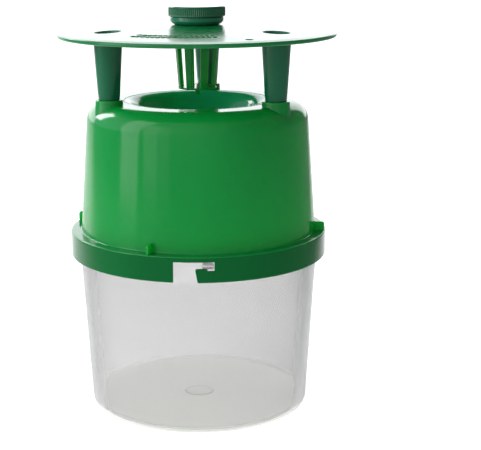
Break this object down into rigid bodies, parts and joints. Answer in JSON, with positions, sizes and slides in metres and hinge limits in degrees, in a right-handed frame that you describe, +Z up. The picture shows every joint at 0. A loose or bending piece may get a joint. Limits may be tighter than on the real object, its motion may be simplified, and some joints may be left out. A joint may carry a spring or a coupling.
{
  "type": "pheromone funnel trap",
  "caption": "Free-standing or hung moth trap: clear bucket, green funnel housing on a bayonet lock, rain lid raised on legs, and a barred lure cage under a screw cap.",
  "frame": {"origin": "centre of the bucket's base, on the surface the trap stands on", "axes": "+Z up along the axis of bucket, funnel and lid; -Y is the front, where one bayonet lock is"},
  "size_m": [0.165, 0.165, 0.2436],
  "materials": {
    "clear_plastic": "translucent, lightly frosted polypropylene",
    "bright_green_plastic": "glossy, slightly translucent moulded polypropylene",
    "dark_green_plastic": "glossy opaque moulded plastic",
    "milky_plastic": "milky translucent polyethylene"
  },
  "bodies": {
    "bucket": {"bucket": "clear_plastic"},
    "housing": {"funnel_housing": "bright_green_plastic", "funnel_cone": "bright_green_plastic"},
    "lid": {"lid": "bright_green_plastic", "leg_left": "dark_green_plastic", "leg_right": "dark_green_plastic", "leg_rear": "dark_green_plastic", "lure_cage": "bright_green_plastic", "cage_collar": "dark_green_plastic"},
    "lure": {"lure_vial": "milky_plastic", "vial_stopper": "milky_plastic"},
    "cap": {"cage_cap": "dark_green_plastic"}
  },
  "joints": [
    {"name": "bayonet_twist", "type": "hinge", "parent": "bucket", "child": "housing", "pos_m": [0, 0, 0.103], "axis": [0, 0, 1], "range_deg": [0, 9.5]},
    {"name": "lid_lift", "type": "slide", "parent": "housing", "child": "lid", "axis": [0, 0, 1], "range_m": [0, 0.06]},
    {"name": "cap_rise", "type": "slide", "parent": "lid", "child": "lure", "axis": [0, 0, 1], "range_m": [0, 0.0076]},
    {"name": "cap_turn", "type": "hinge", "parent": "lure", "child": "cap", "pos_m": [0, 0, 0.24], "axis": [0, 0, 1], "range_deg": [0, 900]}
  ],
  "couplings": [
    {"joint": "cap_rise", "follows": "cap_turn", "m_per_rad": 0.00047746}
  ]
}
